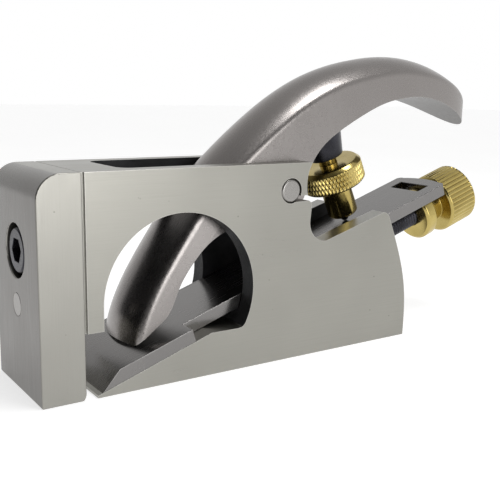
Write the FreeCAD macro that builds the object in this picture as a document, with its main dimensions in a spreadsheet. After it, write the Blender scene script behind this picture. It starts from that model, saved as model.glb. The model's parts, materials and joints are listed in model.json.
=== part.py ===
import FreeCAD, Part
import math
import os

import Sketcher
from FreeCAD import Placement, Rotation, Vector

# Small bullnose shoulder plane. Row frame in millimetres: +Z up, the sole on Z = 0, the nose towards
# -X, the blade adjuster towards +X, and Y = 0 on the plane's centre line. The origin is the point of
# the sole straight under the lever cap's pivot pin.

os.makedirs("parts", exist_ok=True)
doc = FreeCAD.newDocument("hand_plane")
sheet = doc.addObject("Spreadsheet::Sheet", "sizes")

SIZES = {
    # body
    "width": 28.0,
    "height": 48.9,
    "front_x": -63.0,
    "nose_length": 9.8,
    "rear_x": 40.0,
    "slot_width": 19.0,
    "slot_front_x": -42.5,
    "slot_corner": 3.0,
    "column_z": 14.7,
    "front_relief": 0.55,
    "opening_x": -29.8,
    "opening_z": 19.9,
    "opening_radius": 19.1,
    "pocket_z": 10.2,
    "edge_break": 0.3,
    # bed and blade
    "bed_foot_x": -52.4,
    "bed_angle": 18.6,
    "lip_x": -50.6,
    "blade_thickness": 3.2,
    "blade_edge": 2.85,
    "blade_shoulder": 27.6,
    "blade_end": 119.1,
    "stem_width": 18.5,
    "bevel_angle": 30.0,
    "tail_radius": 25.0,
    "tail_slot_start": 110.8,
    "tail_slot_end": 115.1,
    "tail_slot_width": 11.0,
    # nose fixings
    "nose_round": 5.5,
    "screw_z": 31.3,
    "screw_radius": 3.0,
    "screw_reach": 17.0,
    "head_radius": 5.0,
    "head_length": 6.0,
    "head_recess": 0.3,
    "hex_flats": 5.0,
    "hex_depth": 3.2,
    "counterbore_radius": 6.0,
    "dowel_z": 19.4,
    "dowel_radius": 2.5,
    "dowel_length": 13.2,
    # lever cap
    "cap_width": 18.4,
    "tip_x": 72.2,
    "taper_x": 46.8,
    "pin_z": 42.2,
    "pin_radius": 3.05,
    "pin_chamfer": 0.6,
    "running_gap": 0.04,
    "slit_low": 39.5,
    "slit_high": 40.9,
    "slit_start_x": 1.0,
    "slit_end_x": 6.0,
    "tip_round": 2.6,
    "tip_rim_low": 67.2,
    # threaded boss under the lever cap, clamp screw, its foot and the thumb wheel
    "clamp_station": 87.6,
    "clamp_angle": 23.6,
    "foot_gap": 0.05,
    "foot_radius": 1.2,
    "foot_top": 6.0,
    "screw_low": 1.8,
    "shank_radius": 2.4,
    "clamp_top": 36.0,
    "boss_low": 19.5,
    "boss_low_radius": 4.6,
    "boss_seat": 29.4,
    "boss_seat_radius": 6.45,
    "spigot_radius": 4.4,
    "spigot_top": 37.5,
    "clamp_bore_top": 39.5,
    "wheel_radius": 8.7,
    "wheel_low": 11.2,
    "wheel_high": 17.5,
    "wheel_chamfer": 1.0,
    "stub_radius": 4.1,
    "stub_low": 2.1,
    # adjuster
    "adjuster_depth": 5.4,
    "rod_radius": 3.0,
    "rod_start": 77.0,
    "rod_end": 125.2,
    "rod_bore_length": 40.0,
    "collar_start": 111.0,
    "collar_end": 114.9,
    "collar_radius": 7.4,
    "neck_radius": 4.6,
    "knob_start": 119.9,
    "knob_end": 130.9,
    "knob_radius": 8.6,
    "knob_bore_end": 128.6,
}

for row, (name, value) in enumerate(SIZES.items(), start=1):
    sheet.set(f"A{row}", name)
    sheet.set(f"B{row}", str(value))
    sheet.setAlias(f"B{row}", name)
doc.recompute()


def size(name):
    """Value of one cell of the sheet."""
    return float(getattr(sheet, name))


BED = math.radians(size("bed_angle"))
ALONG = Vector(math.cos(BED), 0, math.sin(BED))
ABOVE = Vector(-math.sin(BED), 0, math.cos(BED))
CLAMP_LEAN = math.radians(size("clamp_angle"))
CLAMP = Vector(-math.sin(CLAMP_LEAN), 0, math.cos(CLAMP_LEAN))
BED_TURN = Rotation(Vector(0, 1, 0), -size("bed_angle"))


def bed_point(along, above=0.0, across=0.0):
    """Point given by its distance up the bed, its height off the bed and its Y."""
    foot = Vector(size("bed_foot_x"), across, 0)
    return foot + ALONG * along + ABOVE * above


def bed_z(x):
    """Height of the bed plane at one X."""
    return (x - size("bed_foot_x")) * math.tan(BED)


def origin_plane(body, role):
    for feature in body.Origin.OriginFeatures:
        if feature.Role == role:
            return feature
    raise ValueError(role)


def new_body(name):
    return doc.addObject("PartDesign::Body", name)


def new_sketch(body, name, role, offset=None):
    sketch = body.newObject("Sketcher::SketchObject", name)
    sketch.AttachmentSupport = (origin_plane(body, role), [""])
    sketch.MapMode = "FlatFace"
    if offset is not None:
        sketch.AttachmentOffset = offset
    return sketch


def draw_loop(sketch, parts):
    """Add a closed run of lines, arcs and curves to a sketch, end to end.

    Each part is a list of (u, v) points: two for a line, three for an arc through its middle point,
    more for a smooth curve through all of them.
    """
    flat = [[Vector(u, v, 0) for u, v in part] for part in parts]
    for points in flat:
        if len(points) == 2:
            shape = Part.LineSegment(points[0], points[1])
        elif len(points) == 3:
            shape = Part.Arc(points[0], points[1], points[2])
        else:
            shape = Part.BSplineCurve()
            shape.interpolate(points)
        sketch.addGeometry(shape, False)


def draw_box(sketch, u_low, u_high, v_low, v_high):
    draw_loop(sketch, [
        [(u_low, v_low), (u_high, v_low)],
        [(u_high, v_low), (u_high, v_high)],
        [(u_high, v_high), (u_low, v_high)],
        [(u_low, v_high), (u_low, v_low)],
    ])


def draw_circle(sketch, u, v, radius_name):
    index = sketch.addGeometry(Part.Circle(Vector(u, v, 0), Vector(0, 0, 1), size(radius_name)), False)
    constraint = sketch.addConstraint(Sketcher.Constraint("Radius", index, size(radius_name)))
    sketch.setExpression(f"Constraints[{constraint}]", f"sizes.{radius_name}")


def pad(body, name, sketch, length, symmetric=True):
    feature = body.newObject("PartDesign::Pad", name)
    feature.Profile = sketch
    feature.SideType = "Symmetric" if symmetric else "One side"
    feature.setExpression("Length", length)
    sketch.Visibility = False
    doc.recompute()
    return feature


def pocket(body, name, sketch, length=None):
    """Cut a sketch both ways; with no length the cut goes right through."""
    before = body.Shape.Volume
    feature = body.newObject("PartDesign::Pocket", name)
    feature.Profile = sketch
    feature.SideType = "Symmetric"
    if length is None:
        feature.Type = "ThroughAll"
    else:
        feature.setExpression("Length", length)
    sketch.Visibility = False
    doc.recompute()
    if body.Shape.Volume > before - 1e-3:
        raise ValueError(f"{name} cuts nothing")
    return feature


def edges_where(shape, test):
    return [f"Edge{i}" for i, edge in enumerate(shape.Edges, start=1) if test(edge)]


def dress(body, kind, name, base, edges, amount):
    """Fillet or chamfer the named edges of a feature."""
    feature = body.newObject(f"PartDesign::{kind}", name)
    feature.Base = (base, edges)
    if kind == "Fillet":
        feature.Radius = amount
    else:
        feature.Size = amount
    body.Tip = feature
    doc.recompute()
    return feature


def combine(kind, name, base, tool):
    """Common or cut of two objects of the document."""
    result = doc.addObject(f"Part::{kind}", name)
    result.Base = base
    result.Tool = tool
    doc.recompute()
    return result


def turned_piece(name, outline, base, direction):
    """Revolve an outline of (radius, distance) points about its own axis and stand it in place."""
    body = new_body(name)
    sketch = new_sketch(body, f"{name}_outline", "XZ_Plane")
    closed = outline + outline[:1]
    draw_loop(sketch, [list(pair) for pair in zip(closed, closed[1:])])
    turn = body.newObject("PartDesign::Revolution", f"{name}_turned")
    turn.Profile = sketch
    turn.ReferenceAxis = (origin_plane(body, "Z_Axis"), [""])
    turn.Angle = 360
    sketch.Visibility = False
    body.Placement = Placement(base, Rotation(Vector(0, 0, 1), direction))
    doc.recompute()
    return body


def build_body():
    """Side outline with the round opening in it, then the slot between the cheeks and the bores."""
    body = new_body("body")
    front = size("front_x") + size("nose_length")
    top = size("height")
    rear = size("rear_x")
    lip = size("lip_x")
    ox, oz, r = size("opening_x"), size("opening_z"), size("opening_radius")
    floor = size("pocket_z")
    floor_x = size("bed_foot_x") + floor / math.tan(BED)
    # the pocket floor runs into the round opening through a small corner radius
    corner = 2.0
    cz = floor + corner
    cx = ox + math.sqrt((r - corner) ** 2 - (cz - oz) ** 2)
    reach = r / (r - corner)
    meet = (ox + (cx - ox) * reach, oz + (cz - oz) * reach)
    bisector = math.atan2((meet[1] - cz - corner) / 2, (meet[0] - cx) / 2)
    middle = (cx + corner * math.cos(bisector), cz + corner * math.sin(bisector))
    outline = new_sketch(body, "side_outline", "XZ_Plane")
    draw_loop(outline, [
        [(front, size("column_z")), (front, top)],
        [(front, top), (6.2, top)],
        [(6.2, top), (4.7, 44.0), (5.0, size("slit_high"))],
        [(5.0, size("slit_high")), (5.6, size("slit_low"))],
        [(5.6, size("slit_low")), (6.4, 38.8)],
        [(6.4, 38.8), (6.0, 34.4)],
        [(6.0, 34.4), (7.5, 30.5), (11.4, 29.1)],
        [(11.4, 29.1), (30.6, 34.9)],
        [(30.6, 34.9), (32.0, 34.4), (32.9, 33.2)],
        [(32.9, 33.2), (36.7, 24.0), (39.6, 13.5), (rear + 0.1, 7.0), (rear, 0.0)],
        [(rear, 0.0), (lip, 0.0)],
        [(lip, 0.0), (lip, bed_z(lip))],
        [(lip, bed_z(lip)), (floor_x, floor)],
        [(floor_x, floor), (cx, floor)],
        [(cx, floor), middle, meet],
        [meet, (ox, oz + r), (ox - r, oz)],
        [(ox - r, oz), (ox - r, size("column_z"))],
        [(ox - r, size("column_z")), (front, size("column_z"))],
    ])
    pad(body, "side_pad", outline, "sizes.width")

    slot = new_sketch(body, "slot_outline", "XZ_Plane")
    low, high = size("slot_front_x"), rear + 5
    draw_loop(slot, [
        [(low, top + 1), (low, bed_z(low))],
        [(low, bed_z(low)), (high, bed_z(high))],
        [(high, bed_z(high)), (high, top + 1)],
        [(high, top + 1), (low, top + 1)],
    ])
    cut = pocket(body, "slot_cut", slot, "sizes.slot_width")
    corners = edges_where(cut.Shape, lambda e: abs(e.BoundBox.XMax - low) < 1e-3
                          and e.BoundBox.XLength < 1e-3 and e.BoundBox.YLength < 1e-3
                          and abs(abs(e.BoundBox.YMax) - size("slot_width") / 2) < 1e-3)
    cut = dress(body, "Fillet", "slot_corners", cut, corners, size("slot_corner"))

    relief = new_sketch(body, "relief_outline", "XY_Plane")
    step, half = size("front_relief"), size("width") / 2
    for low_y, high_y in ((-half, step - half), (half - step, half)):
        draw_box(relief, front, front + step, low_y, high_y)
    pocket(body, "relief_cut", relief)

    bore = new_sketch(body, "pin_bore_outline", "XZ_Plane")
    draw_circle(bore, 0.0, size("pin_z"), "pin_radius")
    pocket(body, "pin_bore", bore)

    slit = new_sketch(body, "slit_outline", "XZ_Plane")
    draw_box(slit, size("slit_start_x"), size("slit_end_x"), size("slit_low"), size("slit_high"))
    pocket(body, "slit_cut", slit)

    for name, z, radius in (("screw", "screw_z", "screw_radius"), ("dowel", "dowel_z", "dowel_radius")):
        hole = new_sketch(body, f"{name}_hole_outline", "YZ_Plane",
                          Placement(Vector(0, 0, front), Rotation()))
        circle = Part.Circle(Vector(0, size(z), 0), Vector(0, 0, 1), size(radius) + size("running_gap"))
        hole.addGeometry(circle, False)
        pocket(body, f"{name}_hole", hole, "2 * (sizes.opening_radius + 1)")

    rod = new_sketch(body, "rod_bore_outline", "YZ_Plane")
    rod.MapMode = "Deactivated"
    rod.Placement = Placement(bed_point(size("rod_start"), -size("adjuster_depth")),
                              Rotation(Vector(0, 1, 0), Vector(0, 0, 1), ALONG, "ZXY"))
    draw_circle(rod, 0.0, 0.0, "rod_radius")
    bore = body.newObject("PartDesign::Pocket", "rod_bore")
    bore.Profile = rod
    bore.setExpression("Length", "sizes.rod_bore_length")
    bore.Reversed = True
    doc.recompute()
    return body


def build_nose():
    """Front block: rounded top front edge, eased mouth corner, counterbored screw hole, dowel hole."""
    body = new_body("nose")
    front, back = size("front_x"), size("front_x") + size("nose_length")
    top, r = size("height"), size("nose_round")
    slant = r * (1 - math.cos(math.radians(45)))
    outline = new_sketch(body, "nose_outline", "XZ_Plane")
    draw_loop(outline, [
        [(front, 0), (front, top - r)],
        [(front, top - r), (front + slant, top - slant), (front + r, top)],
        [(front + r, top), (back, top)],
        [(back, top), (back, 1.9)],
        [(back, 1.9), (back - 0.15, 0.7), (back - 0.6, 0)],
        [(back - 0.6, 0), (front, 0)],
    ])
    pad(body, "nose_pad", outline, "sizes.width")
    depth = size("head_recess") + size("head_length")
    cuts = (
        ("counterbore", "screw_z", size("counterbore_radius"), 2 * depth),
        ("screw_clearance", "screw_z", size("screw_radius") + 0.3, None),
        ("dowel_hole_front", "dowel_z", size("dowel_radius"), None),
    )
    for name, z, radius, length in cuts:
        hole = new_sketch(body, f"{name}_outline", "YZ_Plane", Placement(Vector(0, 0, front), Rotation()))
        hole.addGeometry(Part.Circle(Vector(0, size(z), 0), Vector(0, 0, 1), radius), False)
        pocket(body, name, hole, None if length is None else str(length))
    return body


def build_nose_screw():
    """Socket head screw lying along X: head, shank and hexagonal socket."""
    front = size("front_x") + size("head_recess")
    head, shank = size("head_length"), size("screw_reach") - size("head_recess")
    big, small = size("head_radius"), size("screw_radius")
    body = turned_piece("nose_screw", [
        (0, 0), (big - 0.4, 0), (big, 0.4), (big, head), (small, head),
        (small, shank - 0.6), (small - 0.6, shank), (0, shank),
    ], Vector(front, 0, size("screw_z")), Vector(1, 0, 0))
    hexagon = new_sketch(body, "socket_outline", "XY_Plane")
    reach = size("hex_flats") / math.sqrt(3)
    corners = [(reach * math.cos(a), reach * math.sin(a))
               for a in (math.radians(60 * k + 30) for k in range(7))]
    draw_loop(hexagon, [list(pair) for pair in zip(corners, corners[1:])])
    pocket(body, "socket", hexagon, "2 * sizes.hex_depth")
    return body


def build_nose_dowel():
    radius, length = size("dowel_radius"), size("dowel_length")
    return turned_piece("nose_dowel", [
        (0, 0), (radius, 0), (radius, length - 0.5), (radius - 0.5, length), (0, length),
    ], Vector(size("front_x"), 0, size("dowel_z")), Vector(1, 0, 0))


def build_blade():
    """T-shaped iron drawn in plan, laid on the bed, bevelled at the edge and slotted at the tail."""
    body = new_body("blade")
    wide, narrow = size("width") / 2, size("stem_width") / 2
    edge, shoulder, end = size("blade_edge"), size("blade_shoulder"), size("blade_end")
    radius, ease = size("tail_radius"), 2.0
    # the rounded tail end starts where the corner radii leave the stem's sides
    inner = narrow - ease
    arc_u = end - radius + math.sqrt(radius ** 2 - inner ** 2)
    corner = (arc_u - 0.25, narrow - 0.55)
    plan = new_sketch(body, "plan_outline", "XY_Plane")
    draw_loop(plan, [
        [(edge, -wide), (shoulder, -wide)],
        [(shoulder, -wide), (shoulder, -narrow)],
        [(shoulder, -narrow), (arc_u - ease, -narrow)],
        [(arc_u - ease, -narrow), (corner[0], -corner[1]), (arc_u, -inner)],
        [(arc_u, -inner), (end, 0), (arc_u, inner)],
        [(arc_u, inner), corner, (arc_u - ease, narrow)],
        [(arc_u - ease, narrow), (shoulder, narrow)],
        [(shoulder, narrow), (shoulder, wide)],
        [(shoulder, wide), (edge, wide)],
        [(edge, wide), (edge, -wide)],
    ])
    pad(body, "plate", plan, "sizes.blade_thickness", symmetric=False)

    bevel = new_sketch(body, "bevel_outline", "XZ_Plane")
    thick = size("blade_thickness")
    rise = (thick + 1) / math.tan(math.radians(size("bevel_angle")))
    draw_loop(bevel, [
        [(edge, 0), (edge + rise, thick + 1)],
        [(edge + rise, thick + 1), (edge - 1, thick + 1)],
        [(edge - 1, thick + 1), (edge - 1, 0)],
        [(edge - 1, 0), (edge, 0)],
    ])
    pocket(body, "bevel", bevel)

    tail = new_sketch(body, "tail_slot_outline", "XY_Plane")
    low, high, half = size("tail_slot_start"), size("tail_slot_end"), size("tail_slot_width") / 2
    draw_box(tail, low, high, -half, half)
    pocket(body, "tail_slot", tail)
    body.Placement = Placement(bed_point(0), BED_TURN)
    doc.recompute()
    return body


# Ridge where the lever cap's crowned top meets its flat sides, toe to tip: X, Z, rise of the crown
# above the ridge there, and depth of the section below it.
RIDGE = [
    (-38.6, 8.0, 2.0, 8.0), (-35.7, 16.7, 2.8, 12.0), (-32.1, 23.2, 3.0, 13.0), (-26.7, 31.1, 3.2, 15.0),
    (-17.0, 42.8, 3.8, 20.0), (-3.4, 54.2, 4.3, 23.0), (10.0, 63.0, 4.5, 22.0), (25.8, 68.8, 4.6, 16.0),
    (41.0, 71.1, 4.3, 14.0), (53.0, 69.8, 4.0, 13.0), (65.0, 64.7, 3.7, 12.0), (75.0, 56.8, 3.6, 12.0),
]


def build_crown_form():
    """Loft of D-shaped sections square to the ridge: the lever cap's crowned top and flat sides."""
    ridge = Part.BSplineCurve()
    ridge.interpolate([Vector(x, 0, z) for x, z, _, _ in RIDGE])
    half = size("cap_width") / 2
    body = new_body("crown_form")
    sections = []
    for number, (x, z, rise, depth) in enumerate(RIDGE):
        here = Vector(x, 0, z)
        tangent = Vector(*ridge.tangent(ridge.parameter(here))[0])
        section = body.newObject("Sketcher::SketchObject", f"crown_section_{number}")
        section.Placement = Placement(here, Rotation(Vector(0, 1, 0), Vector(), tangent, "ZXY"))
        draw_loop(section, [
            [(-half, 0), (0, rise), (half, 0)],
            [(half, 0), (half, -depth)],
            [(half, -depth), (-half, -depth)],
            [(-half, -depth), (-half, 0)],
        ])
        sections.append(section)
    doc.recompute()
    loft = body.newObject("PartDesign::AdditiveLoft", "crown_loft")
    loft.Profile = sections[0]
    loft.Sections = sections[1:]
    doc.recompute()
    return body


def build_tip_form():
    """Plan outline of the lever cap: straight sides running into a half oval finger grip."""
    body = new_body("tip_form")
    half, front, taper = size("cap_width") / 2, -50.0, size("taper_x")
    plan = new_sketch(body, "tip_outline", "XY_Plane")
    draw_loop(plan, [
        [(taper, half), (front, half)],
        [(front, half), (front, -half)],
        [(front, -half), (taper, -half)],
    ])
    oval = Part.Ellipse(Vector(taper, 0, 0), size("tip_x") - taper, half)
    plan.addGeometry(Part.ArcOfEllipse(oval, -math.pi / 2, math.pi / 2), False)
    pad(body, "tip_pad", plan, "4 * sizes.height")
    return body


def build_lever_cap():
    """Side outline cut out of the crowned form, its tip rounded, with the pivot bore and the boss's seat."""
    body = new_body("cap_blank")
    outline = new_sketch(body, "cap_outline", "XZ_Plane")
    toe = bed_point(14.6, size("blade_thickness") + size("foot_gap"))
    draw_loop(outline, [
        [(toe.x, toe.z), (-33.2, 12.5)],
        [(-33.2, 12.5), (-30.0, 16.0), (-28.0, 20.6), (-24.8, 25.5), (-20.5, 30.0), (-15.0, 33.0)],
        [(-15.0, 33.0), (5.6, 38.4)],
        [(5.6, 38.4), (7.2, 39.0), (7.8, 40.4)],
        [(7.8, 40.4), (9.2, 46.6), (13.2, 52.2), (19.0, 56.2), (26.4, 60.0), (33.2, 62.8), (39.6, 64.3),
         (46.4, 64.8), (53.5, 64.0), (58.5, 62.7), (65.0, 60.3), (70.0, 58.0), (76.0, 54.8)],
        [(76.0, 54.8), (76.0, 76.0)],
        [(76.0, 76.0), (30.0, 84.0)],
        [(30.0, 84.0), (-30.0, 62.0)],
        [(-30.0, 62.0), (-50.0, 8.0)],
        [(-50.0, 8.0), (toe.x, toe.z)],
    ])
    pad(body, "cap_pad", outline, "sizes.cap_width")

    bore = new_sketch(body, "pivot_bore_outline", "XZ_Plane")
    radius = size("pin_radius") + size("running_gap")
    bore.addGeometry(Part.Circle(Vector(0, size("pin_z"), 0), Vector(0, 0, 1), radius), False)
    pocket(body, "pivot_bore", bore)

    crowned = combine("Common", "crowned_cap", body, build_crown_form())
    trimmed = combine("Common", "trimmed_cap", crowned, build_tip_form())
    rounded = doc.addObject("Part::Fillet", "rounded_cap")
    rounded.Base = trimmed
    rim = [i for i, edge in enumerate(trimmed.Shape.Edges, start=1)
           if edge.BoundBox.XMin > size("taper_x") - 0.1 and edge.BoundBox.ZMax > size("tip_rim_low")]
    rounded.Edges = [(i, size("tip_round"), size("tip_round")) for i in rim]
    doc.recompute()

    seat = doc.addObject("Part::Cone", "boss_seat_form")
    seat.setExpression("Radius1", "sizes.boss_low_radius")
    seat.setExpression("Radius2", "sizes.boss_seat_radius")
    seat.setExpression("Height", "sizes.boss_seat - sizes.boss_low")
    seat.Placement = Placement(clamp_point(size("boss_low")), Rotation(Vector(0, 0, 1), CLAMP))
    spigot = doc.addObject("Part::Cylinder", "spigot_bore")
    spigot.setExpression("Radius", "sizes.spigot_radius")
    spigot.setExpression("Height", "sizes.clamp_bore_top - sizes.boss_seat")
    spigot.Placement = Placement(clamp_point(size("boss_seat")), Rotation(Vector(0, 0, 1), CLAMP))
    return combine("Cut", "lever_cap", combine("Cut", "seated_cap", rounded, seat), spigot)


def clamp_point(height):
    """Point on the clamp screw's axis, by its distance from the blade's upper face."""
    return bed_point(size("clamp_station"), size("blade_thickness")) + CLAMP * height


def build_pivot_pin():
    radius, length, ease = size("pin_radius"), size("width"), size("pin_chamfer")
    return turned_piece("pivot_pin", [
        (0, 0), (radius - ease, 0), (radius, ease),
        (radius, length - ease), (radius - ease, length), (0, length),
    ], Vector(0, -length / 2, size("pin_z")), Vector(0, 1, 0))


def build_clamp_boss():
    """Conical boss seated in the lever cap by a spigot, bored for the clamp screw's thread."""
    bore = size("shank_radius") + size("running_gap")
    low, seat, top = size("boss_low"), size("boss_seat"), size("spigot_top")
    small, big, spigot = size("boss_low_radius"), size("boss_seat_radius"), size("spigot_radius")
    return turned_piece("clamp_boss", [
        (bore, low), (small, low), (big, seat), (spigot, seat), (spigot, top), (bore, top),
    ], clamp_point(0), CLAMP)


def build_clamp_screw():
    """Threaded screw through the thumb wheel and up into the boss, bored at the end for the foot."""
    gap, ease = size("running_gap"), 2 * size("edge_break")
    shank, foot = size("shank_radius"), size("foot_radius") + gap
    low, top, seat = size("screw_low"), size("clamp_top"), size("foot_top") + gap
    return turned_piece("clamp_screw", [
        (foot, low), (shank, low), (shank, top - ease), (shank - ease, top), (0, top),
        (0, seat), (foot, seat),
    ], clamp_point(0), CLAMP)


def build_clamp_foot():
    """Round-ended foot that stands on the blade in the end of the clamp screw."""
    radius, low, top = size("foot_radius"), size("foot_gap"), size("foot_top")
    return turned_piece("clamp_foot", [
        (0, low), (radius * 0.4, low + 0.1), (radius * 0.75, low + 0.4), (radius, low + 1.0),
        (radius, top), (0, top),
    ], clamp_point(0), CLAMP)


def build_thumb_wheel():
    """Brass wheel pressed on the clamp screw: stub below, knurled rim, flat top with a bevelled edge."""
    bore, rim, stub = size("shank_radius"), size("wheel_radius"), size("stub_radius")
    low, bottom, top = size("stub_low"), size("wheel_low"), size("wheel_high")
    bevel, ease = size("wheel_chamfer"), 2 * size("edge_break")
    return turned_piece("thumb_wheel", [
        (bore, low), (stub - ease, low), (stub, low + ease), (stub, bottom), (rim - ease, bottom),
        (rim, bottom + ease), (rim, top - bevel), (rim - bevel, top), (bore, top),
    ], clamp_point(0), CLAMP)


def build_adjuster_rod():
    radius, length = size("rod_radius"), size("rod_end") - size("rod_start")
    return turned_piece("adjuster_rod", [
        (0, 0), (radius, 0), (radius, length - 0.6), (radius - 0.6, length), (0, length),
    ], bed_point(size("rod_start"), -size("adjuster_depth")), ALONG)


def build_adjuster_knob():
    """Collar in the blade's tail slot, neck and knurled knob, bored to run on the threaded rod."""
    start = size("collar_start")
    collar_end, knob_start, knob_end = (size(n) - start for n in ("collar_end", "knob_start", "knob_end"))
    collar, neck, knob = size("collar_radius"), size("neck_radius"), size("knob_radius")
    bore, bore_end = size("rod_radius") + size("running_gap"), size("knob_bore_end") - start
    return turned_piece("adjuster_knob", [
        (bore, 0), (collar - 0.7, 0), (collar, 0.7), (collar, collar_end - 0.4), (collar - 0.4, collar_end),
        (neck, collar_end), (neck, knob_start), (knob - 0.6, knob_start), (knob, knob_start + 0.6),
        (knob, knob_end - 1.0), (knob - 1.0, knob_end), (0, knob_end), (0, bore_end), (bore, bore_end),
    ], bed_point(start, -size("adjuster_depth")), ALONG)


PIECES = {
    "body": build_body(),
    "nose": build_nose(),
    "nose_screw": build_nose_screw(),
    "nose_dowel": build_nose_dowel(),
    "blade": build_blade(),
    "lever_cap": build_lever_cap(),
    "pivot_pin": build_pivot_pin(),
    "clamp_boss": build_clamp_boss(),
    "clamp_screw": build_clamp_screw(),
    "clamp_foot": build_clamp_foot(),
    "thumb_wheel": build_thumb_wheel(),
    "adjuster_rod": build_adjuster_rod(),
    "adjuster_knob": build_adjuster_knob(),
}
doc.recompute()

for item in doc.Objects:
    if "Invalid" in item.State or "Error" in item.State:
        raise ValueError(f"{item.Name} is in state {item.State}")
for node, piece in PIECES.items():
    shape = piece.Shape
    if shape.isNull() or not shape.isValid() or not shape.Solids:
        raise ValueError(f"{node} has no valid solid")
    shape.exportStep(f"parts/{node}.step")
    box = shape.BoundBox
    print(f"{node:14s} solids {len(shape.Solids)} volume {shape.Volume:9.1f}"
          f"  x {box.XMin:7.2f} {box.XMax:7.2f}  y {box.YMin:7.2f} {box.YMax:7.2f}"
          f"  z {box.ZMin:7.2f} {box.ZMax:7.2f}")
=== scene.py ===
import json
import math

import bmesh
import bpy
from mathutils import Matrix, Vector


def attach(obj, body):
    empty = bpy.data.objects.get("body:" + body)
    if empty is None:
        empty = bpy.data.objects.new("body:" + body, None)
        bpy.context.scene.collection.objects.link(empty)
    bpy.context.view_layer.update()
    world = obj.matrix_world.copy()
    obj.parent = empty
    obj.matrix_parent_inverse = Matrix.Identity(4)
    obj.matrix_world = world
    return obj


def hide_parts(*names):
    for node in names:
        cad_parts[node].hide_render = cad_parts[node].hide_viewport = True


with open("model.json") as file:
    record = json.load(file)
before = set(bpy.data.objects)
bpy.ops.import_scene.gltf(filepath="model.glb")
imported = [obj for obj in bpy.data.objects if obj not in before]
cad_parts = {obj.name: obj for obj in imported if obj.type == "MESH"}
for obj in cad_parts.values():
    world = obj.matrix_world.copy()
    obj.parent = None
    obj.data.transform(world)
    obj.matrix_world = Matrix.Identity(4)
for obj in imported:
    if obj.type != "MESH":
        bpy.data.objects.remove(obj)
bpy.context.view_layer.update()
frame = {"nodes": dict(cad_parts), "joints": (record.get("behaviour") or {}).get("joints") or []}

# A small bullnose shoulder plane in ground steel with brass wheels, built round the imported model.
# Everything is in metres in the row frame: +Z up, the nose towards -X, Y across the plane.

MM = 0.001
TINY = 1e-6
JOINTS = {joint["name"]: joint for joint in frame["joints"]}

# Camera: where it stands round the point it looks at, in degrees and metres
CAMERA_AIM = Vector((-0.0023, 0.0, 0.0255))
CAMERA_AZIMUTH = -34.22
CAMERA_ELEVATION = 11.3
CAMERA_ROLL = 1.03
CAMERA_DISTANCE = 0.2036
CAMERA_LENS = 57.0


# ---------------------------------------------------------------- meshes

def new_piece(name, vertices, faces, smooth_angle):
    """Mesh object with smooth shading and its hard edges marked."""
    mesh = bpy.data.meshes.new(name)
    mesh.from_pydata(vertices, [], faces)
    mesh.validate()
    mesh.shade_smooth()
    mesh.set_sharp_from_angle(angle=math.radians(smooth_angle))
    piece = bpy.data.objects.new(name, mesh)
    bpy.context.scene.collection.objects.link(piece)
    return piece


def finish_piece(piece, body, slot, *nodes):
    """Put a piece on its body in place of CAD nodes; slot is not used."""
    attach(piece, body)
    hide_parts(*nodes)


def refined(node, round_mm, crease=30.0):
    """Copy of a CAD node: flat faces joined up, edges past the crease angle crisp, hard edges rounded."""
    work = bmesh.new()
    work.from_mesh(frame["nodes"][node].data)
    bmesh.ops.remove_doubles(work, verts=work.verts, dist=1e-6)
    bmesh.ops.dissolve_limit(work, angle_limit=math.radians(0.4), verts=work.verts, edges=work.edges)
    work.verts.index_update()
    vertices = [vertex.co.copy() for vertex in work.verts]
    faces = [[vertex.index for vertex in face.verts] for face in work.faces]
    work.free()
    piece = new_piece(f"{node}_finished", vertices, faces, crease)
    bevel = piece.modifiers.new("rounded_edges", "BEVEL")
    bevel.limit_method = "ANGLE"
    bevel.angle_limit = math.radians(30)
    bevel.width = round_mm * MM
    bevel.segments = 3
    bevel.harden_normals = True
    bevel.miter_outer = "MITER_ARC"
    return piece


def softened(outline, radius):
    """Outline of (radius, height) points with each corner turned into a short curve."""
    steps = 3
    result = []
    count = len(outline)
    for i, corner in enumerate(outline):
        here = Vector(corner)
        before, after = Vector(outline[i - 1]), Vector(outline[(i + 1) % count])
        if min(here.x, before.x, after.x) < 0 or here.x == 0:
            result.append(here)
            continue
        reach = min(radius, (before - here).length * 0.4, (after - here).length * 0.4)
        start = here + (before - here).normalized() * reach
        end = here + (after - here).normalized() * reach
        for step in range(steps + 1):
            t = step / steps
            result.append(start * (1 - t) ** 2 + here * 2 * t * (1 - t) + end * t * t)
    return result


def with_rows(outline, low, high, spacing):
    """The same outline with rows added where its outer side runs from low to high."""
    result = []
    for i, here in enumerate(outline):
        result.append(here)
        after = outline[(i + 1) % len(outline)]
        run = after.y - here.y
        inside = min(here.y, after.y) >= low - TINY and max(here.y, after.y) <= high + TINY
        if abs(run) > spacing and inside:
            rows = int(abs(run) / spacing)
            result.extend(here.lerp(after, k / rows) for k in range(1, rows))
    return result


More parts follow.
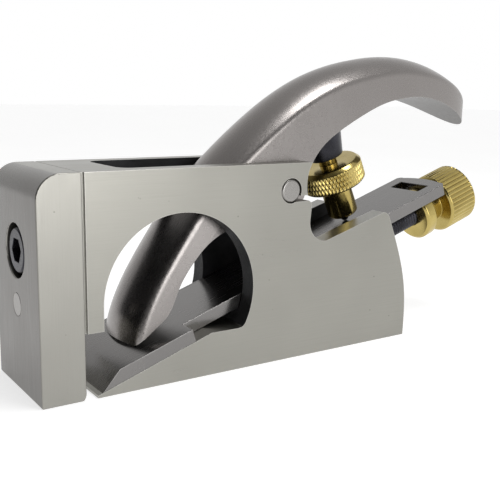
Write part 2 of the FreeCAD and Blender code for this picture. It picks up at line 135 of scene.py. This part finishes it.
def turned(name, outline, point, axis, columns, relief=None):
    """Lathe mesh: a closed outline in mm about an axis, with relief(angle, height, radius) in mm cut in."""
    axis = Vector(axis).normalized()
    side = Vector((0, 1, 0)).cross(axis).normalized()
    across = axis.cross(side)
    vertices, faces = [], []
    for ring in outline:
        for column in range(columns):
            angle = 2 * math.pi * column / columns
            radius = ring.x
            if relief is not None and radius > 0:
                radius -= relief(angle, ring.y, radius)
            spoke = side * math.cos(angle) + across * math.sin(angle)
            vertices.append(point + (axis * ring.y + spoke * radius) * MM)
    rings = len(outline)
    for ring in range(rings):
        for column in range(columns):
            a = ring * columns + column
            b = ring * columns + (column + 1) % columns
            c = ((ring + 1) % rings) * columns + (column + 1) % columns
            d = ((ring + 1) % rings) * columns + column
            faces.append((a, b, c, d))
    work = bmesh.new()
    mesh = bpy.data.meshes.new("lathe")
    mesh.from_pydata(vertices, [], faces)
    work.from_mesh(mesh)
    bmesh.ops.remove_doubles(work, verts=work.verts, dist=1e-8)
    bmesh.ops.dissolve_degenerate(work, dist=1e-8, edges=work.edges)
    bmesh.ops.recalc_face_normals(work, faces=work.faces)
    work.verts.index_update()
    vertices = [vertex.co.copy() for vertex in work.verts]
    faces = [[vertex.index for vertex in face.verts] for face in work.faces]
    work.free()
    bpy.data.meshes.remove(mesh)
    return new_piece(name, vertices, faces, 38.0)


def saw(value):
    """0 at whole numbers plus a half, 1 at whole numbers, straight in between."""
    return abs((value % 1.0) - 0.5) * 2


def fade(height, low, high, margin):
    """1 between two heights, falling to 0 at them."""
    return max(0.0, min(1.0, (height - low) / margin, (high - height) / margin))


def diamond_knurl(teeth, lean, depth, low, high, crest):
    """Two crossing sets of V grooves over one band of a wheel."""
    def relief(angle, height, radius):
        share = fade(height, low, high, 0.25)
        if share <= 0 or radius < crest - 0.01:
            return 0.0
        turn = teeth * angle / (2 * math.pi)
        shift = height * lean * teeth / (2 * math.pi * crest)
        ridge = min(1.0, 1.5 * saw(turn + shift), 1.5 * saw(turn - shift))
        return depth * share * (1 - ridge)
    return relief


def straight_knurl(teeth, depth, low, high, crest):
    """V grooves along the axis over one band of a knob."""
    def relief(angle, height, radius):
        share = fade(height, low, high, 0.3)
        if share <= 0 or radius < crest - 0.01:
            return 0.0
        return depth * share * (1 - min(1.0, 1.4 * saw(teeth * angle / (2 * math.pi))))
    return relief


def screw_thread(pitch, depth, low, high, crest):
    """Helical V thread over one length of a rod."""
    def relief(angle, height, radius):
        share = fade(height, low, high, 0.6)
        if share <= 0 or radius < crest - 0.01:
            return 0.0
        return depth * share * (1 - min(1.0, 1.25 * saw(height / pitch - angle / (2 * math.pi))))
    return relief


# ---------------------------------------------------------------- materials

NOISE_SPAN = (0.3, 0.7)   # where the noise texture's values mostly lie
STEEL_EDGE = (0.80, 0.79, 0.76, 1)
STEEL_PIT = (0.09, 0.085, 0.08, 1)
BRASS_EDGE = (0.80, 0.70, 0.36, 1)
BLACK_SPECK = (0.28, 0.27, 0.28, 1)
BLACK_EDGE = (0.20, 0.19, 0.19, 1)


def new_material(name):
    """New material, its node tree and its shader."""
    material = bpy.data.materials.new(name)
    material.use_nodes = True
    tree = material.node_tree
    return material, tree, tree.nodes["Principled BSDF"]


def add(tree, kind, settings=(), **inputs):
    """New shader node, its properties set from settings and its sockets from inputs."""
    node = tree.nodes.new(kind)
    for key, value in dict(settings).items():
        setattr(node, key, value)
    for key, value in inputs.items():
        socket = node.inputs[int(key[1:])] if key[0] == "i" and key[1:].isdigit() else node.inputs[key]
        if isinstance(value, bpy.types.NodeSocket):
            tree.links.new(value, socket)
        else:
            socket.default_value = value
    return node


def place(tree, stretch):
    """Object coordinates stretched by a scale per axis, in repeats per metre."""
    coords = add(tree, "ShaderNodeTexCoord").outputs["Object"]
    return add(tree, "ShaderNodeMapping", Vector=coords, Scale=stretch).outputs["Vector"]


def noise(tree, stretch, detail=3.0, rough=0.55):
    return add(tree, "ShaderNodeTexNoise", Vector=place(tree, stretch), Scale=1.0,
               Detail=detail, Roughness=rough).outputs["Fac"]


def remap(tree, value, low, high, to_low, to_high):
    """Value carried from low..high to to_low..to_high, and held at the ends."""
    return add(tree, "ShaderNodeMapRange", {"clamp": True},
               i0=value, i1=low, i2=high, i3=to_low, i4=to_high).outputs[0]


def mix_colour(tree, share, first, second):
    settings = {"data_type": "RGBA", "blend_type": "MIX"}
    return add(tree, "ShaderNodeMix", settings, i0=share, i6=first, i7=second).outputs[2]


def calculate(tree, operation, first, second):
    return add(tree, "ShaderNodeMath", {"operation": operation}, i0=first, i1=second).outputs[0]


def dot_product(tree, first, second):
    settings = {"operation": "DOT_PRODUCT"}
    return add(tree, "ShaderNodeVectorMath", settings, i0=first, i1=second).outputs["Value"]


def edge_mask(tree, radius):
    """1 on outside and inside edges, 0 on flat ground."""
    rounded = add(tree, "ShaderNodeBevel", {"samples": 8}, Radius=radius).outputs["Normal"]
    plain = add(tree, "ShaderNodeNewGeometry").outputs["Normal"]
    likeness = dot_product(tree, rounded, plain)
    return remap(tree, likeness, 0.995, 0.82, 0.0, 1.0)


def bump(tree, height, strength, distance, normal=None):
    inputs = {"Height": height, "Strength": strength, "Distance": distance}
    if normal is not None:
        inputs["Normal"] = normal
    return add(tree, "ShaderNodeBump", **inputs).outputs["Normal"]


def ground_steel(name, tone, dark, roughness, lines, line_depth, wear=0.35):
    """Ground or satin steel: fine lines one way, soft clouding, small pits and brighter edges."""
    material, tree, shader = new_material(name)
    streak = noise(tree, lines, 4.0, 0.6)
    cloud = noise(tree, (45, 45, 45), 2.0)
    spread = place(tree, (420, 420, 420))
    pits = add(tree, "ShaderNodeTexVoronoi", Vector=spread, Scale=1.0).outputs["Distance"]
    pit = remap(tree, pits, 0.05, 0.09, 1.0, 0.0)
    rare = remap(tree, noise(tree, (260, 260, 260), 1.0), 0.62, 0.68, 0.0, 1.0)
    pit = calculate(tree, "MULTIPLY", pit, rare)
    base = mix_colour(tree, cloud, (*dark, 1), (*tone, 1))
    base = mix_colour(tree, remap(tree, streak, *NOISE_SPAN, 0.0, 0.22), base, (*dark, 1))
    edge = edge_mask(tree, 0.35 * MM)
    base = mix_colour(tree, calculate(tree, "MULTIPLY", edge, wear), base, STEEL_EDGE)
    base = mix_colour(tree, calculate(tree, "MULTIPLY", pit, 0.6), base, STEEL_PIT)
    rough = remap(tree, streak, *NOISE_SPAN, roughness - 0.05, roughness + 0.07)
    rough = calculate(tree, "ADD", rough, remap(tree, cloud, *NOISE_SPAN, -0.03, 0.04))
    rough = calculate(tree, "SUBTRACT", rough, calculate(tree, "MULTIPLY", edge, 0.08))
    tree.links.new(base, shader.inputs["Base Color"])
    tree.links.new(rough, shader.inputs["Roughness"])
    shader.inputs["Metallic"].default_value = 1.0
    normal = bump(tree, streak, line_depth, 0.02 * MM)
    normal = bump(tree, calculate(tree, "SUBTRACT", 1.0, pit), 0.3, 0.05 * MM, normal)
    tree.links.new(normal, shader.inputs["Normal"])
    return material


def black_finish(name, tone, roughness, grain, depth, metallic):
    """Black oxide or rough blackened metal with a grain and worn, greyer edges."""
    material, tree, shader = new_material(name)
    speck = noise(tree, (grain, grain, grain), 5.0, 0.65)
    cloud = noise(tree, (160, 160, 160), 2.0)
    paler = [2.2 * value for value in tone]
    worn = mix_colour(tree, remap(tree, cloud, 0.35, 0.7, 0.0, 1.0), (*tone, 1), (*paler, 1))
    bright = remap(tree, speck, 0.68, 0.8, 0.0, 0.5)
    worn = mix_colour(tree, bright, worn, BLACK_SPECK)
    edge = calculate(tree, "MULTIPLY", edge_mask(tree, 0.2 * MM), 0.35)
    worn = mix_colour(tree, edge, worn, BLACK_EDGE)
    tree.links.new(worn, shader.inputs["Base Color"])
    rough = remap(tree, speck, *NOISE_SPAN, roughness - 0.08, roughness + 0.1)
    tree.links.new(rough, shader.inputs["Roughness"])
    shader.inputs["Metallic"].default_value = metallic
    tree.links.new(bump(tree, speck, depth, 0.12 * MM), shader.inputs["Normal"])
    return material


def polished_brass(name):
    """Lacquered turned brass: faint tool rings, warm clouding and brighter worn edges."""
    material, tree, shader = new_material(name)
    cloud = noise(tree, (120, 120, 120), 3.0)
    fine = noise(tree, (2600, 2600, 2600), 3.0)
    share = remap(tree, cloud, *NOISE_SPAN, 0.0, 1.0)
    base = mix_colour(tree, share, (0.42, 0.325, 0.105, 1), (0.52, 0.415, 0.15, 1))
    edge = edge_mask(tree, 0.2 * MM)
    base = mix_colour(tree, calculate(tree, "MULTIPLY", edge, 0.4), base, BRASS_EDGE)
    tree.links.new(base, shader.inputs["Base Color"])
    tree.links.new(remap(tree, fine, *NOISE_SPAN, 0.13, 0.24), shader.inputs["Roughness"])
    shader.inputs["Metallic"].default_value = 1.0
    tree.links.new(bump(tree, fine, 0.12, 0.02 * MM), shader.inputs["Normal"])
    return material


def light_table(name):
    """White acrylic light table: lit evenly from below, with the faintest mottling."""
    material, tree, shader = new_material(name)
    shade = remap(tree, noise(tree, (8, 8, 8), 2.0), *NOISE_SPAN, 0.0, 1.0)
    base = mix_colour(tree, shade, (0.52, 0.52, 0.52, 1), (0.55, 0.55, 0.55, 1))
    tree.links.new(base, shader.inputs["Base Color"])
    shader.inputs["Roughness"].default_value = 0.9
    shader.inputs["Emission Color"].default_value = (1, 1, 1, 1)
    shader.inputs["Emission Strength"].default_value = 0.66
    return material


# Grinding lines: repeats per metre along X, Y and Z, few along the lines and many across them
SIDE_LINES = (70, 5200, 5200)
NOSE_LINES = (5200, 5200, 90)
CAP_LINES = (900, 5200, 900)
BLADE_LINES = (120, 4200, 120)
PIN_LINES = (2600, 2600, 2600)

BODY_STEEL = ground_steel(
    "body_ground_steel", tone=(0.340, 0.333, 0.302), dark=(0.283, 0.277, 0.251),
    roughness=0.34, lines=SIDE_LINES, line_depth=0.22)
NOSE_STEEL = ground_steel(
    "nose_ground_steel", tone=(0.345, 0.338, 0.308), dark=(0.282, 0.275, 0.252),
    roughness=0.34, lines=NOSE_LINES, line_depth=0.20)
# Darker copy of the nose steel for its forward-facing faces: painted shade, with a slightly smoother
# finish.
NOSE_FRONT_PAINTED_SHADE = ground_steel(
    "nose_front_painted_shade", tone=(0.205, 0.196, 0.185), dark=(0.165, 0.158, 0.150),
    roughness=0.30, lines=NOSE_LINES, line_depth=0.20)
CAP_STEEL = ground_steel(
    "cap_satin_steel", tone=(0.305, 0.288, 0.277), dark=(0.252, 0.233, 0.225),
    roughness=0.27, lines=CAP_LINES, line_depth=0.05, wear=0.2)
# Darker, rougher copy of the cap steel for its downward faces: the darkness is painted shade, the roughness
# is real.
CAP_UNDER_PAINTED_SHADE = ground_steel(
    "cap_under_painted_shade", tone=(0.185, 0.180, 0.176), dark=(0.140, 0.136, 0.133),
    roughness=0.34, lines=CAP_LINES, line_depth=0.10, wear=0.2)
BLADE_STEEL = ground_steel(
    "blade_tool_steel", tone=(0.240, 0.232, 0.226), dark=(0.190, 0.184, 0.180),
    roughness=0.22, lines=BLADE_LINES, line_depth=0.12, wear=0.2)
PIN_STEEL = ground_steel(
    "pin_steel", tone=(0.330, 0.318, 0.305), dark=(0.270, 0.262, 0.250),
    roughness=0.28, lines=PIN_LINES, line_depth=0.12)
# Black for the slot's walls and bed, and on the round opening's rim, where the black is painted shade.
BLACK_INSIDE_AND_PAINTED_SHADE = black_finish(
    "black_inside_and_painted_shade", tone=(0.014, 0.014, 0.015), roughness=0.50, grain=1500, depth=0.7, metallic=0.6)
BLACK_OXIDE = black_finish(
    "black_oxide", tone=(0.024, 0.024, 0.029), roughness=0.30, grain=2600, depth=0.25, metallic=0.85)
BRASS = polished_brass("polished_brass")


def paint(piece, *materials):
    for material in materials:
        piece.data.materials.append(material)


# ---------------------------------------------------------------- pieces

# Where the body's top slot and round side opening lie
SLOT_HALF = 9.5 * MM
SLOT_FRONT = -42.5 * MM
SLOT_CORNER = 3.0 * MM
OPENING_REAR = -13.0 * MM
OPENING = (-29.8 * MM, 19.9 * MM)
OPENING_RADIUS = 19.1 * MM
SQUARE_ON = 0.9     # least share of a normal along an axis that the face is square to
EDGE_ON = 0.05      # most share of a normal along an axis that the face runs along
BED_LEAN = 0.97     # the bed's normal has less than this upwards, a level face has more


def make_body():
    """Steel body: ground outside, black on the slot's walls and bed, and the same black on the round
    opening's rim as painted shade.
    """
    piece = refined("body", 0.3)
    paint(piece, BODY_STEEL, BLACK_INSIDE_AND_PAINTED_SHADE)
    near = 0.05 * MM
    rim_reach = 0.3 * MM
    for face in piece.data.polygons:
        centre, normal = face.center, face.normal
        wall = abs(abs(centre.y) - SLOT_HALF) < near and abs(normal.y) > SQUARE_ON
        front = abs(centre.x - SLOT_FRONT) < near and normal.x > SQUARE_ON
        corner = (SLOT_FRONT < centre.x < SLOT_FRONT + SLOT_CORNER and abs(normal.z) < EDGE_ON
                  and SLOT_HALF - SLOT_CORNER < abs(centre.y) < SLOT_HALF)
        bed = abs(centre.y) < SLOT_HALF and centre.x > OPENING_REAR and SQUARE_ON < normal.z < BED_LEAN
        # The round opening's rim takes the black as painted shade.
        from_opening = math.hypot(centre.x - OPENING[0], centre.z - OPENING[1])
        rim = abs(from_opening - OPENING_RADIUS) < rim_reach and abs(normal.y) < EDGE_ON
        if wall or front or corner or bed or rim:
            face.material_index = 1
    finish_piece(piece, "plane", "body_steel", "body")


def make_steel(node, body, slot, material, round_mm):
    """Refined copy of a CAD node in one material."""
    piece = refined(node, round_mm)
    paint(piece, material)
    finish_piece(piece, body, slot, node)


def make_nose():
    """Nose block, its forward-facing faces given a darker copy of its steel as painted shade."""
    piece = refined("nose", 0.3)
    paint(piece, NOSE_STEEL, NOSE_FRONT_PAINTED_SHADE)
    for face in piece.data.polygons:
        # Faces turned forward take the darker copy: painted shade.
        faces_forward = face.normal.x < -0.2
        if faces_forward:
            face.material_index = 1
    finish_piece(piece, "plane", "body_steel", "nose")


def make_lever_cap():
    """Lever cap, satin above, its downward faces given a darker, rougher copy of the steel: the darkness is
    painted shade.
    """
    piece = refined("lever_cap", 0.3, 14.0)
    paint(piece, CAP_STEEL, CAP_UNDER_PAINTED_SHADE)
    for face in piece.data.polygons:
        # Faces turned down take the darker copy: painted shade.
        faces_down = face.normal.z < -0.1 and abs(face.normal.y) < SQUARE_ON
        if faces_down:
            face.material_index = 1
    finish_piece(piece, "cap", "cap_steel", "lever_cap")


THREAD_COLUMNS = 40     # points round a threaded rod


def axis_of(joint_name):
    """A point on a joint's axis and its direction."""
    joint = JOINTS[joint_name]
    return Vector(joint["pos_m"]), Vector(joint["axis"]).normalized()


def reach_of(node, point, axis):
    """Largest radius of a CAD node about an axis, and its lowest and highest point along it, in mm."""
    spans = [(vertex.co - point) for vertex in frame["nodes"][node].data.vertices]
    heights = [span.dot(axis) / MM for span in spans]
    radii = [(span - axis * span.dot(axis)).length / MM for span in spans]
    return max(radii), min(heights), max(heights)


def make_thumb_wheel():
    """Brass wheel with a diamond knurl between its edges, and its smooth stub."""
    point, axis = axis_of("thumb_screw_turn")
    rim, low, top = reach_of("thumb_wheel", point, axis)
    bottom = top - 6.3
    bevel, ease = 1.0, 0.6
    bore, stub = 2.42, 4.1
    teeth, lean, depth = 56, 0.36, 0.30
    columns_per_tooth = 8
    outline = softened([
        (bore, low), (stub - ease, low), (stub, low + ease), (stub, bottom), (rim - ease, bottom),
        (rim, bottom + ease), (rim, top - bevel), (rim - bevel, top), (bore, top),
    ], 0.18)
    outline = with_rows(outline, bottom + 0.5, top - bevel + 0.1, 0.12)
    knurl = diamond_knurl(teeth, lean, depth, bottom + 0.55, top - bevel + 0.05, rim)
    piece = turned("thumb_wheel_knurled", outline, point, axis, teeth * columns_per_tooth, knurl)
    paint(piece, BRASS)
    finish_piece(piece, "thumb_screw", "brass", "thumb_wheel")


def make_clamp_screw():
    """Brass screw: plain where it leaves the wheel, threaded inside the boss."""
    point, axis = axis_of("thumb_screw_turn")
    radius, low, top = reach_of("clamp_screw", point, axis)
    seat, foot, ease = 6.04, 1.24, 0.6
    plain_length, pitch, depth = 19.0, 1.25, 0.30
    outline = softened([
        (foot, low), (radius, low), (radius, top - ease), (radius - ease, top), (0, top),
        (0, seat), (foot, seat),
    ], 0.1)
    outline = with_rows(outline, low, top, 0.12)
    thread = screw_thread(pitch, depth, low + plain_length, top, radius)
    piece = turned("clamp_screw_threaded", outline, point, axis, THREAD_COLUMNS, thread)
    paint(piece, BRASS)
    finish_piece(piece, "thumb_screw", "brass", "clamp_screw")


def make_rod():
    """Black rod, threaded past the length held in the body."""
    point, axis = axis_of("adjuster_turn")
    radius, low, high = reach_of("adjuster_rod", point, axis)
    ease = 0.6
    plain_length, pitch, depth = 8.0, 1.0, 0.34
    outline = softened([
        (0, low), (radius, low), (radius, high - ease), (radius - ease, high), (0, high),
    ], 0.1)
    outline = with_rows(outline, low, high, 0.125)
    thread = screw_thread(pitch, depth, low + plain_length, high, radius)
    piece = turned("adjuster_rod_threaded", outline, point, axis, THREAD_COLUMNS, thread)
    paint(piece, BLACK_OXIDE)
    finish_piece(piece, "plane", "black_steel", "adjuster_rod")


def make_knob():
    """Brass knob with a straight knurl, its neck, and the collar that carries the blade."""
    point, axis = axis_of("adjuster_turn")
    knob, low, high = reach_of("adjuster_knob", point, axis)
    collar, neck, bore = 7.4, 4.6, 3.04
    collar_high, knob_low, bore_high = low + 3.9, low + 8.9, high - 2.3
    teeth, depth, columns_per_tooth = 40, 0.34, 12
    outline = softened([
        (bore, low), (collar - 0.7, low), (collar, low + 0.7), (collar, collar_high - 0.4),
        (collar - 0.4, collar_high), (neck, collar_high), (neck, knob_low), (knob - 0.6, knob_low),
        (knob, knob_low + 0.6), (knob, high - 1.0), (knob - 1.0, high), (0, high), (0, bore_high),
        (bore, bore_high),
    ], 0.18)
    outline = with_rows(outline, knob_low + 0.5, high - 0.9, 0.5)
    knurl = straight_knurl(teeth, depth, knob_low + 0.5, high - 0.9, knob)
    piece = turned("adjuster_knob_knurled", outline, point, axis, teeth * columns_per_tooth, knurl)
    paint(piece, BRASS)
    finish_piece(piece, "adjuster", "brass", "adjuster_knob")


make_body()
make_nose()
make_steel("nose_screw", "plane", "black_steel", BLACK_OXIDE, 0.15)
make_steel("nose_dowel", "plane", "pin_steel", PIN_STEEL, 0.08)
make_steel("pivot_pin", "plane", "pin_steel", PIN_STEEL, 0.25)
make_steel("clamp_boss", "cap", "black_steel", BLACK_OXIDE, 0.25)
make_steel("blade", "blade", "blade_steel", BLADE_STEEL, 0.15)
make_lever_cap()
make_steel("clamp_foot", "foot", "black_steel", BLACK_OXIDE, 0.1)
make_thumb_wheel()
make_clamp_screw()
make_rod()
make_knob()


# ---------------------------------------------------------------- studio

LIGHT_AIM = Vector((0, 0, 0.03))


def make_floor():
    """Light table, a hair under the sole."""
    size = 3.0
    drop = 0.02 * MM
    corners = [(-size, -size, -drop), (size, -size, -drop), (size, size, -drop), (-size, size, -drop)]
    floor = new_piece("table_top", corners, [(0, 1, 2, 3)], 30.0)
    paint(floor, light_table("white_acrylic"))


def make_world():
    """White studio: bright low down, greyer overhead and past the nose, dark where the viewer stands."""
    world = bpy.data.worlds.new("studio")
    world.use_nodes = True
    tree = world.node_tree
    bpy.context.scene.world = world
    background = tree.nodes["Background"]
    way = add(tree, "ShaderNodeTexCoord").outputs["Generated"]
    parts = add(tree, "ShaderNodeSeparateXYZ", Vector=way).outputs
    sky = remap(tree, parts["Z"], 0.15, 0.80, 1.0, 0.62)
    nose_side = remap(tree, parts["X"], -0.8, 0.0, 0.25, 1.0)
    sky = calculate(tree, "MULTIPLY", sky, nose_side)
    dark = remap(tree, dot_product(tree, way, tuple(camera_back())), 0.35, 0.90, 1.0, 0.10)
    level = calculate(tree, "MULTIPLY", sky, dark)
    seen = add(tree, "ShaderNodeLightPath").outputs["Is Camera Ray"]
    shown = add(tree, "ShaderNodeMix", {"data_type": "FLOAT"}, i0=seen, i2=level, i3=1.0).outputs[0]
    tree.links.new(shown, background.inputs["Strength"])
    background.inputs["Color"].default_value = (1, 1, 1, 1)


def camera_back():
    """Unit vector from the aim towards the camera."""
    azimuth, elevation = math.radians(CAMERA_AZIMUTH), math.radians(CAMERA_ELEVATION)
    return Vector((math.sin(azimuth) * math.cos(elevation), -math.cos(azimuth) * math.cos(elevation),
                   math.sin(elevation)))


def make_light(name, place_at, size, power):
    """Square softbox turned towards the middle of the plane."""
    data = bpy.data.lights.new(name, "AREA")
    data.shape = "SQUARE"
    data.size = size
    data.energy = power
    light = bpy.data.objects.new(name, data)
    light.location = place_at
    light.rotation_euler = (LIGHT_AIM - Vector(place_at)).to_track_quat("-Z", "Y").to_euler()
    bpy.context.scene.collection.objects.link(light)


def make_camera():
    """Camera on its line from the aim, turned to face it and rolled."""
    data = bpy.data.cameras.new("camera")
    data.lens = CAMERA_LENS
    data.sensor_width = 36.0
    data.clip_start = 0.01
    data.clip_end = 20.0
    camera = bpy.data.objects.new("camera", data)
    back = camera_back()
    turn = (-back).to_track_quat("-Z", "Y").to_matrix() @ Matrix.Rotation(math.radians(CAMERA_ROLL), 3, "Z")
    camera.matrix_world = Matrix.Translation(CAMERA_AIM + back * CAMERA_DISTANCE) @ turn.to_4x4()
    bpy.context.scene.collection.objects.link(camera)
    bpy.context.scene.camera = camera


make_floor()
make_world()
make_light("softbox_top", (0.08, -0.14, 0.50), 0.16, 0.8)
make_light("softbox_front", (0.02, -0.42, 0.09), 0.26, 0.75)
make_camera()
bpy.context.scene.view_settings.view_transform = "Standard"
